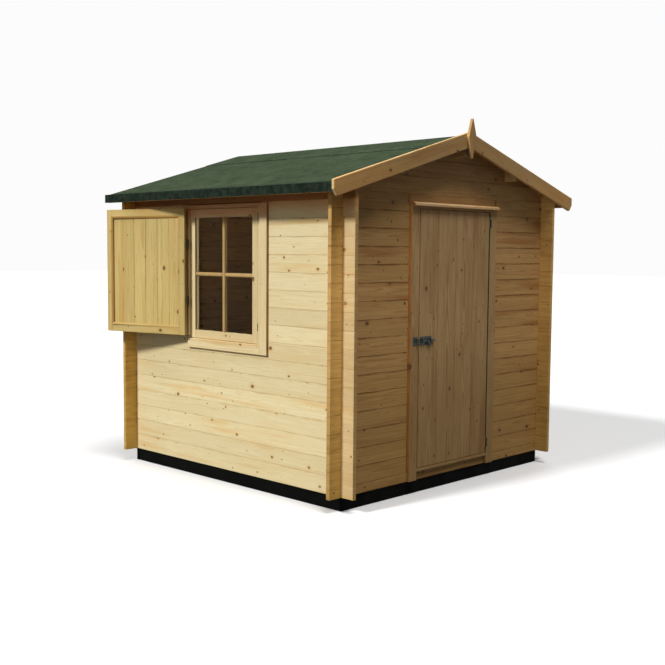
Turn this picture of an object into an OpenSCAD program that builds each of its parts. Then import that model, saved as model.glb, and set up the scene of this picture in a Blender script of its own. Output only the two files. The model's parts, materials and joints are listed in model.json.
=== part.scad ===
// Garden cabin of interlocking logs: a square room on timber bearers, with a
// felted gable roof, a boarded door in the gable wall and a shuttered window.
// The door is in the wall that faces -Y, the window in the wall that faces -X.
// The origin is the middle of the plan, on the ground.

/* [Walls] */
// Width of the room over its side walls
wall_w = 2180; // [1900:10:2600]
// Depth of the room over its end walls
wall_d = 2180; // [1900:10:2600]
// Height that one log covers
log_h = 114; // [100:1:130]
// Thickness of a log
log_t = 28; // [24:1:44]
// Whole courses in a side wall
log_courses = 17; // [16:1:18]
// Length of log that runs on past each corner
log_end = 100; // [80:5:120]
// Depth and half height of the groove between two logs
groove = 2.5; // [1.5:0.5:4]
// Gap between a notched log and the log it sits astride
notch_gap = 0.5; // [0.2:0.1:1]

/* [Base] */
// Height of the bearers and joists
base_h = 90; // [60:5:120]
// Width of a bearer under the walls
bearer_w = 70; // [58:2:100]
// Distance from the wall's outer face in to the bearer
bearer_inset = 10; // [0:1:20]
// Width of a floor joist
joist_w = 45; // [35:1:60]
// Floor joists between the side bearers
joist_count = 3; // [1:2:5]
// Thickness of the floor
floor_t = 19; // [16:1:25]
// Gap between the floor and the walls
floor_gap = 3; // [1:1:6]

/* [Roof] */
// Slope of the roof in degrees
roof_pitch = 16.5; // [12:0.5:22]
// Overhang of the roof past the side walls
eave_over = 195; // [150:5:230]
// Length of roof beyond the back wall
back_over = 70; // [60:5:90]
// Thickness of the roof boards
roof_t = 18; // [15:1:22]
// Thickness of the felt
felt_t = 3; // [2:0.5:4]
// Gap under each layer of the roof
lay_gap = 0.1; // [0.05:0.05:0.3]
// Distance that the ridge cap reaches down each slope, level
cap_reach = 340; // [200:10:420]
// Width of the fillet that tilts the felt up at the eave
fillet_w = 40; // [30:2:60]
// Height of the fillet at the eave
fillet_h = 8; // [4:1:10]
// Depth of the batten under the eave
eave_trim_h = 30; // [24:1:40]
// Thickness of the batten under the eave
eave_trim_t = 20; // [16:1:24]
// Depth of the front barge boards
barge_w = 102; // [85:1:115]
// Depth of the back barge boards
back_barge_w = 46; // [40:1:80]
// Thickness of the barge boards
barge_t = 22; // [16:1:26]
// Height of the front barge boards above the felt
barge_rise = 23; // [10:1:30]
// Length of the front barge boards past the felt's edge
barge_over = 8; // [0:1:20]
// Width of the corner clipped off the foot of a front barge board
barge_clip = 32; // [15:1:45]
// Height of the corner clipped off the foot of a front barge board
barge_clip_h = 50; // [25:1:60]
// Drop of the felt over the back barge boards
felt_drop = 25; // [15:1:35]
// Width of a purlin
purlin_w = 44; // [38:1:60]
// Depth of the ridge purlin
ridge_purlin_h = 120; // [90:5:140]
// Depth of a side purlin
side_purlin_h = 70; // [60:5:90]
// Distance of the side purlins from the middle
side_purlin_x = 600; // [500:10:700]
// Width of the finial
finial_w = 84; // [70:1:100]
// Height of the finial
finial_h = 262; // [220:2:300]
// Height of the finial's point above the barge boards' apex
finial_up = 85; // [70:1:110]
// Height of the finial's widest part above its foot
finial_mid = 141; // [120:1:160]
// Thickness of the finial
finial_t = 20; // [16:1:24]
// Width of the finial's blunt tips
finial_tip = 8; // [4:1:14]

/* [Door] */
// Width of the door leaf
door_w = 766; // [700:2:800]
// Gap round the door leaf
door_gap = 5.5; // [5.5:0.5:7]
// Thickness of the door boards
door_t = 18; // [16:1:22]
// Boards across the door
door_board_count = 4; // [3:1:6]
// Depth and half width of the groove between two boards
board_groove = 1.5; // [1:0.5:3]
// Whole courses of log below the piece over the door
door_courses = 16; // [15:1:16]
// Width of a door jamb on the face
jamb_w = 79; // [60:1:90]
// Distance that the door frame stands out from the wall
frame_out = 20; // [14:1:26]
// Distance that the door frame stands in from the wall
frame_in = 20; // [14:1:26]
// Width that a jamb's tongue reaches between the logs
tongue_w = 8; // [5:1:12]
// Depth that the tongue is set back from the wall's faces
tongue_set = 6; // [4:1:8]
// Width of the stop behind the leaf
stop_w = 12; // [10:1:16]
// Thickness of the door sill
sill_t = 21; // [18:1:28]
// Depth of the door head
head_h = 36; // [30:1:45]
// Width of a ledge on the back of the door
ledge_w = 95; // [80:1:110]
// Thickness of the ledges and braces
ledge_t = 20; // [16:1:24]
// Distance from the door's ends to the outer ledges
ledge_end = 150; // [120:5:200]
// Width of a brace, measured level
brace_w = 110; // [80:5:130]
// Gap between the ledges and the door stops
ledge_clear = 6; // [5:0.5:10]
// Distance that the drip strip stands out from the door head
drip_out = 25; // [18:1:35]
// Thickness of the drip strip
drip_t = 26; // [20:1:34]
// Fall of the drip strip's top
drip_fall = 10; // [6:1:14]
// Length of the drip strip past each jamb
drip_over = 0; // [0:1:10]
// Height of the drip strip's foot above the door head's foot
drip_lift = 16; // [5:1:20]
// Width of the slot in the logs over each jamb
head_slot_w = 16; // [10:1:20]
// Depth of the slot in the logs over each jamb
head_slot_t = 10; // [6:1:14]

/* [Ironmongery] */
// Height of a hinge
hinge_h = 60; // [50:2:80]
// Radius of a hinge knuckle
knuckle_r = 5.5; // [4.5:0.5:6.5]
// Radius of a hinge pin
pin_r = 2.5; // [2:0.25:3]
// Play between a pin and its knuckle
pin_play = 0.4; // [0.3:0.1:0.6]
// Thickness of a hinge plate
plate_t = 2; // [1.5:0.25:2.25]
// Gap between the knuckles of a hinge
knuckle_gap = 0.8; // [0.5:0.1:1]
// Distance from the leaf's ends to its hinges
hinge_end = 44; // [40:2:120]
// Depth of a hinge plate into the gap beside the door
plate_reach = 16; // [12:1:17]
// Length of a hinge strap on the shutter or its trim
strap_l = 44; // [36:2:50]
// Height of the bolt above the foot of the door
bolt_z = 842; // [700:2:1000]
// Radius of the bolt
bolt_r = 6; // [5:0.5:7]
// Play round the bolt
bolt_play = 1; // [0.6:0.1:1.5]
// Length of the bolt
bolt_l = 150; // [140:2:160]
// Travel of the bolt into its keep
bolt_travel = 38; // [34:1:42]
// Height of the bolt's plates
bolt_plate_h = 56; // [48:2:64]
// Length of the bolt's back plate
bolt_plate_l = 120; // [112:2:128]
// Length of the keep's plate
keep_plate_l = 50; // [44:1:54]
// Distance from the edge of the door or jamb to a bolt plate
bolt_edge = 8; // [6:1:12]
// Width of a staple round the bolt
staple_w = 14; // [10:1:16]
// Metal round the bolt in a staple
staple_t = 4; // [3:0.5:5]
// Distance between the back plate's ends and its staples
staple_end = 10; // [6:1:14]
// Width of the bolt's handle
handle_w = 18; // [16:1:20]
// Thickness of the bolt's handle
handle_t = 5; // [4:0.5:5.5]
// Gap between the bolt's handle and a staple
handle_gap = 5; // [5:0.5:7]
// Drop of the bolt's handle
handle_h = 34; // [28:1:40]
// Radius of the padlock hole in the bolt's handle
handle_hole_r = 4.5; // [4:0.5:6]

/* [Window] */
// Distance of the window's middle from the wall's middle, towards the door
window_x = -42; // [-80:2:0]
// Width of the sash
sash_w = 720; // [680:2:740]
// Height of the sash
sash_h = 897; // [860:1:905]
// Whole courses of log over the window
window_over = 1; // [1:1:3]
// Width of the sash's stiles and rails
sash_face = 56; // [45:1:64]
// Thickness of the sash
sash_t = 36; // [30:1:40]
// Distance of the sash's face behind the face of the logs
sash_set = 2; // [0:0.5:4]
// Gap between the sash and its casing
sash_gap = 3; // [2:0.5:4]
// Thickness of the glass
glass_t = 4; // [3:0.5:6]
// Depth of the glazing groove
glass_bite = 8; // [6:1:12]
// Width of the casing's members
casing_face = 27; // [20:1:40]
// Depth of the casing
casing_t = 44; // [40:1:58]
// Gap between the casing and the logs
casing_gap = 2; // [1:0.5:3]
// Width of the window trim's uprights
trim_w = 70; // [60:1:75]
// Width of the trim under the window
trim_foot_w = 62; // [50:1:75]
// Width of the trim over the window
trim_head_w = 14; // [10:1:20]
// Length of the trim under the window past the shutter's hinge line
trim_foot_past = 20; // [6:1:40]
// Thickness of the window trim
trim_t = 18; // [14:1:20]
// Gap between timbers that butt
butt_gap = 0.5; // [0.3:0.1:1]

/* [Shutter] */
// Width of the shutter beyond the sash's width
shutter_over_w = 12; // [0:2:30]
// Height of the shutter's head above the sash's head
shutter_over_h = 8; // [4:2:20]
// Height of the shutter's foot above the sash's foot
shutter_lift = 16; // [0:2:30]
// Thickness of the shutter's frame
shutter_t = 22; // [18:1:26]
// Gap between the closed shutter and the casing
shutter_clear = 5; // [5:0.5:8]
// Gap between the closed shutter and the window trim
trim_gap = 6; // [6:0.5:8]
// Width of the shutter's stiles
shutter_stile = 46; // [40:1:65]
// Width of the shutter's rails
shutter_rail = 50; // [40:1:70]
// Thickness of the shutter's boards
shutter_board_t = 10; // [8:1:13]
// Distance of the shutter's boards behind its frame's inner face
shutter_board_set = 8; // [3:0.5:9]
// Depth of the groove in the shutter's frame that holds its boards
shutter_bite = 10; // [6:1:14]
// Boards across the shutter
shutter_board_count = 6; // [4:1:8]
// Distance of the shutter's hinge line in from the sash's edge
hinge_in = 14; // [8:2:30]
// Distance from the hinge line to the shutter's edge
hinge_edge = 5; // [4.5:0.5:7]
// Distance from the shutter's ends to its hinges
shutter_hinge_end = 215; // [100:5:240]
// Angle between the open shutter and the wall
shutter_angle = 13; // [8:1:30]

/* [Hidden] */
$fn = 32;
flat_back = 180;
square_turn = 90;

pine = "burlywood";
shaded_pine = "peru";
felt = "darkolivegreen";
iron = "dimgray";
tar = "black";

// Plan and heights, from the middle of the plan and the foot of the logs
half_w = wall_w / 2;
half_d = wall_d / 2;
end_x = half_w + log_end;
end_y = half_d + log_end;
wall_h = log_courses * log_h;
half_log = log_h / 2;
quarter_log = log_h / 4;
gable_z = wall_h - half_log;

// Roof, whose slopes are measured straight down
rise = tan(roof_pitch);
board_v = roof_t / cos(roof_pitch);
felt_v = felt_t / cos(roof_pitch);
barge_v = barge_w / cos(roof_pitch);
back_barge_v = back_barge_w / cos(roof_pitch);
eave_x = half_w + eave_over;
roof_front = end_y;
roof_back = half_d + back_over;
board_back = roof_back - barge_t;
cap_over = board_v + felt_v;

// Doorway
leaf_x = door_w / 2;
jamb_x = leaf_x + door_gap;
frame_x = jamb_x + jamb_w;
opening_x = frame_x + tongue_w;
sill_z = half_log + sill_t;
door_z = sill_z + door_gap;
header_z = door_courses * log_h;
head_z = header_z - head_h;
door_h = head_z - door_gap - door_z;
door_y = -half_d - frame_out;
board_y = door_y + door_t;
stop_y = board_y + door_gap;
frame_back_y = -half_d + log_t + frame_in;
ledge_x = jamb_x - stop_w - ledge_clear;

// Hinges and bolt
door_pin_x = leaf_x + door_gap / 2;
door_pin_y = door_y - knuckle_r - knuckle_gap;
door_hinge_z = [door_z + hinge_end, door_z + door_h - hinge_end - hinge_h];
knuckle_h = (hinge_h - 2 * knuckle_gap) / 3;
bolt_y = door_y - plate_t - bolt_r - bolt_play;
bolt_mid_z = door_z + bolt_z;
bolt_plate_x = -leaf_x + bolt_edge;
keep_plate_x = -jamb_x - bolt_edge - keep_plate_l;
keep_staple_x = -jamb_x - bolt_edge - staple_w;
bolt_x = -leaf_x + butt_gap;
staple_r = bolt_r + bolt_play;

// Window and shutter, in the window wall's own directions: x runs towards the
// door, y runs into the room from the face of the logs
casing_w = sash_w + 2 * (sash_gap + casing_face);
casing_h = sash_h + 2 * (sash_gap + casing_face);
above_z = wall_h - window_over * log_h;
cut_top = above_z - groove;
casing_z = cut_top - casing_gap - casing_h;
sash_z = casing_z + casing_face + sash_gap;
cut_w = casing_w + 2 * casing_gap;
cut_z = casing_z - casing_gap;
below_z = ceil(cut_z / log_h) * log_h;
glass_y = sash_set + (sash_t - glass_t) / 2;
shutter_w = sash_w + shutter_over_w;
shutter_h = sash_h + shutter_over_h - shutter_lift;
shutter_z = sash_z + shutter_lift;
shutter_hinge_x = sash_w / 2 - window_x - hinge_in;
trim_x0 = -shutter_hinge_x - trim_gap;
trim_x1 = -shutter_hinge_x + hinge_edge + shutter_w + trim_gap;
trim_z0 = sash_z - trim_gap;
trim_z1 = shutter_z + shutter_h + trim_gap;
shutter_pin_y = -shutter_clear - shutter_t - hinge_edge;
shutter_hinge_z = [shutter_z + shutter_hinge_end,
                   shutter_z + shutter_h - shutter_hinge_end - hinge_h];
panel_x = hinge_edge + shutter_stile - shutter_bite;
panel_y = hinge_edge + shutter_t - shutter_board_set;
panel_z = shutter_z + shutter_rail - shutter_bite;
panel_low = [panel_x, panel_y - shutter_board_t, panel_z];
panel_high = [2 * hinge_edge + shutter_w - panel_x, panel_y, 2 * shutter_z + shutter_h - panel_z];

// Height of the underside of the roof boards at a distance from the ridge
function under_z(x) = wall_h + (half_w - x) * rise;

// Outline of one roof slope's layer: it lies over the boards' underside from
// lower to upper, between two distances from the ridge
function slope(x0, x1, lower, upper) =
    [[x0, under_z(x0) + lower], [x1, under_z(x1) + lower],
     [x1, under_z(x1) + upper], [x0, under_z(x0) + upper]];

// Grooved face between two ends: joints come every step from the first, and
// each is cut in from the face by the depth, towards the way given
function grooved(from, to, first, step, depth, face, way) =
    let (count = floor((to - first) / step + depth / step),
         lines = [for (i = [0 : count]) first + i * step])
    concat(lines[0] - depth > from ? [[face, from]] : [],
           [for (j = lines)
            for (p = [[face, j - depth], [face + way * depth, j], [face, j + depth]])
            if (p[1] >= from && p[1] <= to) p],
           lines[count] + depth < to ? [[face, to]] : []);

// The same points from the far end back
function backward(points) = [for (i = [len(points) - 1 : -1 : 0]) points[i]];

// Section through a stack of logs: outer face at 0, inner face at the log's
// thickness, with half a groove at a top or foot that is a joint
function log_section(z0, z1, first, lift) =
    concat(grooved(z0, z1, first, log_h, groove, 0, 1),
           backward(grooved(z0, z1 + lift, first, log_h, groove, log_t, -1)));

// Extrudes an outline of depth and height along +X
module along_x(x0, x1) {
    translate([x0, 0, 0])
        rotate([square_turn, 0, square_turn])
            linear_extrude(height = x1 - x0)
                children();
}

// Extrudes an outline of width and height along +Y
module along_y(y0, y1) {
    translate([0, y1, 0])
        rotate([square_turn, 0, 0])
            linear_extrude(height = y1 - y0)
                children();
}

// A block between two corners
module block(low, high) {
    translate(low)
        cube(high - low);
}

// The same piece on the other side of the ridge
module other_side() {
    mirror([1, 0, 0])
        children();
}

// Lifts the logs and what they carry onto the bearers
module on_base() {
    translate([0, 0, base_h])
        children();
}

// Stands a wall built with its outer face at y = 0 in its place
module at_front() {
    on_base() translate([0, -half_d, 0]) children();
}

module at_back() {
    on_base() rotate([0, 0, 2 * square_turn]) translate([0, -half_d, 0]) children();
}

module at_left() {
    on_base() rotate([0, 0, -square_turn]) translate([0, -half_w, 0]) children();
}

module at_right() {
    on_base() rotate([0, 0, square_turn]) translate([0, -half_w, 0]) children();
}

// Places the shutter and its moving ironmongery, drawn closed from the hinge
// line: x along the shutter, y towards the room
module on_shutter() {
    at_left()
        translate([-shutter_hinge_x, shutter_pin_y, 0])
            rotate([0, 0, shutter_angle - flat_back])
                children();
}

// The first joint between logs at or above a height
function first_joint(z, lowest) = lowest + ceil((z - lowest) / log_h) * log_h;

// Holes where the necks of the crossing logs pass, at both corners of a wall
module neck_holes(corner, lowest, grow) {
    for (side = [0, 1], course = [0 : log_courses])
        mirror([side, 0, 0])
            block([corner - log_t - notch_gap, -notch_gap,
                   lowest + course * log_h - quarter_log - grow],
                  [corner + notch_gap, log_t + notch_gap,
                   lowest + course * log_h + quarter_log + grow]);
}

// A stretch of an end wall, whose courses start with half a log
module end_logs(x0, x1, z0, z1) {
    difference() {
        along_x(x0, x1)
            polygon(log_section(z0, z1, first_joint(z0, half_log), 0));
        neck_holes(half_w, half_log, 0);
    }
}

// A stretch of a side wall, whose courses are whole
module side_logs(x0, x1, z0, z1, lift) {
    difference() {
        along_x(x0, x1)
            polygon(log_section(z0, z1, first_joint(z0, 0), lift));
        neck_holes(half_d, 0, notch_gap);
    }
}

// Cuts the top log of a side wall short of the back barge boards
module short_of_barge() {
    difference() {
        children();
        on_base()
            block([-end_x, board_back - butt_gap, wall_h - log_h],
                  [end_x, end_y + log_end, wall_h + log_h]);
    }
}

// The space under the roof boards, above a height
module under_roof(z0) {
    along_y(-end_y - log_end, end_y + log_end)
        polygon([[-end_x, z0], [end_x, z0], [end_x, under_z(end_x)],
                 [0, under_z(0)], [-end_x, under_z(end_x)]]);
}

// Section of the ridge purlin, bevelled to both slopes
module ridge_purlin_section(grow) {
    edge = purlin_w / 2 + grow;
    polygon([[-edge, under_z(0) - ridge_purlin_h - grow],
             [edge, under_z(0) - ridge_purlin_h - grow],
             [edge, under_z(edge)], [0, under_z(0)], [-edge, under_z(edge)]]);
}

// Section of the right side purlin, bevelled to its slope
module side_purlin_section(grow) {
    inner = side_purlin_x - purlin_w / 2 - grow;
    outer = side_purlin_x + purlin_w / 2 + grow;
    foot = under_z(side_purlin_x) - side_purlin_h - grow;
    polygon([[inner, foot], [outer, foot], [outer, under_z(outer)], [inner, under_z(inner)]]);
}

// The gable over an end wall, from its last whole joint up to the boards,
// with slots for the purlins
module gable() {
    difference() {
        intersection() {
            end_logs(-end_x, end_x, gable_z, under_z(0));
            under_roof(gable_z);
        }
        along_y(-log_t, 2 * log_t)
            ridge_purlin_section(notch_gap);
        for (side = [0, 1])
            mirror([side, 0, 0])
                along_y(-log_t, 2 * log_t)
                    side_purlin_section(notch_gap);
    }
}

// Four timbers round an opening: the uprights run through, the others butt
module ring(low, high, upright, level) {
    for (x = [low[0], high[0] - upright])
        block([x, low[1], low[2]], [x + upright, high[1], high[2]]);
    for (z = [low[2], high[2] - level])
        block([low[0] + upright + butt_gap, low[1], z],
              [high[0] - upright - butt_gap, high[1], z + level]);
}

// A panel of upright boards, grooved where they meet
module board_panel(low, high, count) {
    step = (high[0] - low[0]) / count;
    near = grooved(low[0], high[0], low[0], step, board_groove, low[1], 1);
    far = grooved(low[0], high[0], low[0], step, board_groove, high[1], -1);
    translate([0, 0, low[2]])
        linear_extrude(height = high[2] - low[2])
            polygon([for (p = concat(near, backward(far))) [p[1], p[0]]]);
}

// The fixed half of a hinge round an upright line: a pin and two knuckles
module pin_half() {
    cylinder(r = pin_r, h = hinge_h);
    for (z = [0, hinge_h - knuckle_h])
        translate([0, 0, z])
            children();
}

// The moving half of a hinge: one knuckle, bored for the pin
module knuckle_half() {
    difference() {
        translate([0, 0, knuckle_h + knuckle_gap])
            children();
        cylinder(r = pin_r + pin_play, h = hinge_h);
    }
}

// One side of a butt hinge, from its knuckles into the gap beside the door
module butt_plate() {
    inner = door_gap / 2 - plate_t;
    reach = door_y - door_pin_y + plate_reach;
    block([inner, knuckle_r + knuckle_gap, 0], [door_gap / 2, reach, hinge_h]);
}

// A knuckle with the tongue that ties it to a butt plate
module butt_knuckle() {
    inner = door_gap / 2 - plate_t;
    cylinder(r = knuckle_r, h = knuckle_h);
    block([inner, 0, 0], [door_gap / 2, knuckle_r + 2 * knuckle_gap, knuckle_h]);
}

// A bar that ties a surface knuckle down to the strap behind it
module trim_knuckle() {
    cylinder(r = knuckle_r, h = knuckle_h);
    block([-knuckle_r, 0, 0], [-knuckle_r + 2 * plate_t, -trim_t - shutter_pin_y, knuckle_h]);
}

// A surface knuckle with the tongue that ties it to its strap
module strap_knuckle() {
    cylinder(r = knuckle_r, h = knuckle_h);
    block([0, hinge_edge - plate_t, 0],
          [knuckle_r + 2 * knuckle_gap, hinge_edge, knuckle_h]);
}

// A staple that wraps the bolt and stands on a plate at y = door_y
module staple(x) {
    outer = staple_r + staple_t;
    depth = door_y - plate_t / 2 - bolt_y;
    along_x(x, x + staple_w)
        translate([bolt_y, bolt_mid_z])
            difference() {
                union() {
                    intersection() {
                        circle(r = outer);
                        translate([-outer, -outer]) square([outer, 2 * outer]);
                    }
                    translate([0, -outer]) square([depth, 2 * outer]);
                }
                circle(r = staple_r);
            }
}

// A square staple that takes the bolt's end on the jamb
module keep_staple(x) {
    outer = staple_r + staple_t;
    difference() {
        block([x, bolt_y - outer, bolt_mid_z - outer],
              [x + staple_w, door_y - plate_t / 2, bolt_mid_z + outer]);
        block([x - staple_w, bolt_y - staple_r, bolt_mid_z - staple_r],
              [x + 2 * staple_w, door_y - plate_t, bolt_mid_z + staple_r]);
    }
}

// A flat plate on the door's face
module bolt_base(x, length) {
    block([x, door_y - plate_t, bolt_mid_z - bolt_plate_h / 2],
          [x + length, door_y, bolt_mid_z + bolt_plate_h / 2]);
}

// ---- Base ----

module base_bearers() {
    outer_x = half_w - bearer_inset;
    outer_y = half_d - bearer_inset;
    color(tar)
        for (side = [0, 1])
            mirror([0, side, 0])
                block([-outer_x, outer_y - bearer_w, 0], [outer_x, outer_y, base_h]);
}

module floor_joists() {
    outer_x = half_w - bearer_inset;
    end = half_d - bearer_inset - bearer_w;
    clear = outer_x - bearer_w;
    step = 2 * clear / (joist_count + 1);
    color(tar) {
        for (side = [0, 1])
            mirror([side, 0, 0])
                block([clear, -end, 0], [outer_x, end, base_h]);
        for (i = [1 : joist_count])
            block([-clear + i * step - joist_w / 2, -end, 0],
                  [-clear + i * step + joist_w / 2, end, base_h]);
    }
}

module floor() {
    reach_x = half_w - log_t - floor_gap;
    reach_y = half_d - log_t - floor_gap;
    color(pine)
        on_base()
            block([-reach_x, -reach_y, 0], [reach_x, reach_y, floor_t]);
}

// ---- Walls ----

module front_sill_log() {
    color(shaded_pine)
        at_front()
            end_logs(-end_x, end_x, 0, half_log);
}

// The logs beside the doorway, slotted above the jamb
module door_side_logs() {
    difference() {
        end_logs(opening_x, end_x, half_log, gable_z);
        block([opening_x - head_slot_w, -groove, header_z],
              [opening_x + head_slot_w, head_slot_t, gable_z - groove * 2]);
    }
}

module front_wall_left() {
    color(shaded_pine)
        at_front()
            other_side()
                door_side_logs();
}

module front_wall_right() {
    color(shaded_pine)
        at_front()
            door_side_logs();
}

module door_header_log() {
    color(shaded_pine)
        at_front()
            end_logs(-frame_x + butt_gap, frame_x - butt_gap, header_z, gable_z);
}

module front_gable() {
    color(shaded_pine)
        at_front()
            gable();
}

module window_cut() {
    block([window_x - cut_w / 2, -log_t, cut_z],
          [window_x + cut_w / 2, 2 * log_t, cut_top]);
}

module window_wall_below() {
    color(pine)
        at_left()
            difference() {
                side_logs(-end_y, end_y, 0, below_z, 0);
                window_cut();
            }
}

module window_wall_front() {
    color(pine)
        at_left()
            side_logs(window_x + cut_w / 2, end_y, below_z, above_z, 0);
}

module window_wall_back() {
    color(pine)
        at_left()
            side_logs(-end_y, window_x - cut_w / 2, below_z, above_z, 0);
}

module window_wall_above() {
    color(pine)
        short_of_barge()
            at_left() {
                side_logs(-end_y, end_y, above_z, wall_h, log_t * rise);
                if (above_z > cut_top)
                    side_logs(window_x - cut_w / 2, window_x + cut_w / 2, cut_top, above_z, 0);
            }
}

module right_wall() {
    color(pine)
        short_of_barge()
            at_right()
                side_logs(-end_y, end_y, 0, wall_h, log_t * rise);
}

module back_wall() {
    color(shaded_pine)
        at_back()
            end_logs(-end_x, end_x, 0, gable_z);
}

module back_gable() {
    color(shaded_pine)
        at_back()
            gable();
}

// ---- Roof ----

module ridge_purlin() {
    color(pine)
        on_base()
            along_y(-roof_front, board_back)
                ridge_purlin_section(0);
}

module side_purlins() {
    color(pine)
        on_base()
            for (side = [0, 1])
                mirror([side, 0, 0])
                    along_y(-roof_front, board_back)
                        side_purlin_section(0);
}

// Boards of one slope, plumb at the ridge and the eave
module roof_slope_boards() {
    along_y(-roof_front, board_back)
        polygon(slope(0, eave_x, lay_gap, board_v));
}

module roof_boards_right() {
    color(pine)
        on_base()
            roof_slope_boards();
}

module roof_boards_left() {
    color(pine)
        on_base()
            other_side()
                roof_slope_boards();
}

// Felt of one slope, tilted up by a fillet at the eave and turned down there
// and over the back barge board
module roof_slope_felt() {
    foot = under_z(eave_x) - eave_trim_h;
    edge = eave_x + felt_t;
    inner = eave_x - fillet_w;
    along_y(-roof_front, roof_back + felt_t)
        polygon(slope(0, edge, board_v + lay_gap, cap_over));
    along_y(-roof_front, roof_back + felt_t)
        polygon([[eave_x, foot], [edge, foot], [edge, under_z(edge) + cap_over + fillet_h],
                 [inner, under_z(inner) + cap_over], [inner, under_z(inner) + board_v + lay_gap],
                 [eave_x, under_z(eave_x) + board_v + lay_gap]]);
    along_y(roof_back, roof_back + felt_t)
        polygon(slope(0, edge, board_v - felt_drop, cap_over));
}

module felt_right() {
    color(felt)
        on_base()
            roof_slope_felt();
}

module felt_left() {
    color(felt)
        on_base()
            other_side()
                roof_slope_felt();
}

module ridge_felt_cap() {
    color(felt)
        on_base()
            along_y(-roof_front, roof_back + felt_t)
                for (side = [0, 1])
                    mirror([side, 0])
                        polygon(slope(0, cap_reach, cap_over + lay_gap, cap_over + felt_v));
}

module eave_trims() {
    color(pine)
        on_base()
            for (side = [0, 1])
                mirror([side, 0, 0])
                    along_y(-roof_front, board_back)
                        polygon([[eave_x - eave_trim_t, under_z(eave_x) - eave_trim_h],
                                 [eave_x, under_z(eave_x) - eave_trim_h],
                                 [eave_x, under_z(eave_x)],
                                 [eave_x - eave_trim_t, under_z(eave_x - eave_trim_t)]]);
}

// Front barge board of the right slope: plumb at the ridge and at its foot,
// where the lower corner is clipped
module front_barge() {
    upper = cap_over + barge_rise;
    lower = upper - barge_v;
    foot_x = eave_x + felt_t + barge_over;
    along_y(-roof_front - barge_t, -roof_front)
        polygon([[butt_gap, under_z(butt_gap) + upper],
                 [foot_x, under_z(foot_x) + upper],
                 [foot_x, under_z(foot_x) + lower + barge_clip_h],
                 [foot_x - barge_clip, under_z(foot_x - barge_clip) + lower],
                 [butt_gap, under_z(butt_gap) + lower]]);
}

// Back barge board of the right slope, under the felt
module back_barge() {
    along_y(board_back, roof_back)
        polygon(slope(butt_gap, eave_x, board_v - back_barge_v, board_v));
}

module barge_front_right() {
    color(shaded_pine)
        on_base()
            front_barge();
}

module barge_front_left() {
    color(shaded_pine)
        on_base()
            other_side()
                front_barge();
}

module barge_back_right() {
    color(shaded_pine)
        on_base()
            back_barge();
}

module barge_back_left() {
    color(shaded_pine)
        on_base()
            other_side()
                back_barge();
}

module finial() {
    top = under_z(0) + cap_over + barge_rise + finial_up;
    foot = top - finial_h;
    face = -roof_front - barge_t;
    color(shaded_pine)
        on_base()
            along_y(face - finial_t, face)
                polygon([[finial_tip / 2, foot], [finial_w / 2, foot + finial_mid],
                         [finial_tip / 2, top], [-finial_tip / 2, top],
                         [-finial_w / 2, foot + finial_mid], [-finial_tip / 2, foot]]);
}

// ---- Door ----

// Right jamb: face, stop and the tongue that fills the gap beside the logs.
// Its face runs down over the sill log.
module door_jamb() {
    tongue_y0 = -half_d + tongue_set;
    tongue_y1 = -half_d + log_t - tongue_set;
    translate([0, 0, sill_z])
        linear_extrude(height = header_z - sill_z)
            polygon([[jamb_x, door_y], [frame_x, door_y], [frame_x, tongue_y0],
                     [opening_x, tongue_y0], [opening_x, tongue_y1], [frame_x, tongue_y1],
                     [frame_x, frame_back_y], [jamb_x - stop_w, frame_back_y],
                     [jamb_x - stop_w, stop_y], [jamb_x, stop_y]]);
    block([frame_x, tongue_y0, header_z], [opening_x, tongue_y1, gable_z]);
    block([jamb_x, door_y, 0], [frame_x, -half_d, header_z]);
}

module door_head() {
    face_x = jamb_x - butt_gap;
    back_x = face_x - stop_w;
    step_y = stop_y - butt_gap;
    block([-face_x, door_y, head_z], [face_x, step_y, header_z]);
    block([-back_x, step_y, head_z - stop_w], [back_x, frame_back_y, header_z]);
}

module door_sill() {
    nose_x = jamb_x - butt_gap;
    block([-nose_x, door_y, half_log], [nose_x, frame_back_y, sill_z - butt_gap]);
    block([-frame_x, -half_d + butt_gap, half_log],
          [frame_x, frame_back_y, sill_z - butt_gap]);
}

module door_frame() {
    color(shaded_pine)
        on_base() {
            door_jamb();
            other_side()
                door_jamb();
            door_head();
            door_sill();
        }
}

module drip_strip() {
    foot = head_z + drip_lift;
    reach = frame_x + drip_over;
    color(pine)
        on_base()
            along_x(-reach, reach)
                polygon([[door_y, foot], [door_y, foot + drip_t],
                         [door_y - drip_out, foot + drip_t - drip_fall],
                         [door_y - drip_out, foot]]);
}

module door_boards() {
    color(shaded_pine)
        on_base()
            board_panel([-leaf_x, door_y, door_z], [leaf_x, board_y, door_z + door_h],
                        door_board_count);
}

module door_ledges() {
    low = door_z + ledge_end;
    high = door_z + door_h - ledge_end - ledge_w;
    middle = (low + high) / 2;
    color(pine)
        on_base() {
            for (z = [low, middle, high])
                block([-ledge_x, board_y, z], [ledge_x, board_y + ledge_t, z + ledge_w]);
            for (z = [low, middle])
                along_y(board_y, board_y + ledge_t)
                    polygon([[ledge_x, z + ledge_w + butt_gap],
                             [-ledge_x + brace_w, z + middle - low - butt_gap],
                             [-ledge_x, z + middle - low - butt_gap],
                             [ledge_x - brace_w, z + ledge_w + butt_gap]]);
        }
}

module door_hinge_plates() {
    color(iron)
        on_base()
            for (z = door_hinge_z)
                translate([door_pin_x, door_pin_y, z]) {
                    pin_half()
                        butt_knuckle();
                    butt_plate();
                }
}

module door_hinge_leaves() {
    color(iron)
        on_base()
            for (z = door_hinge_z)
                translate([door_pin_x, door_pin_y, z])
                    other_side() {
                        knuckle_half()
                            butt_knuckle();
                        butt_plate();
                    }
}

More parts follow.
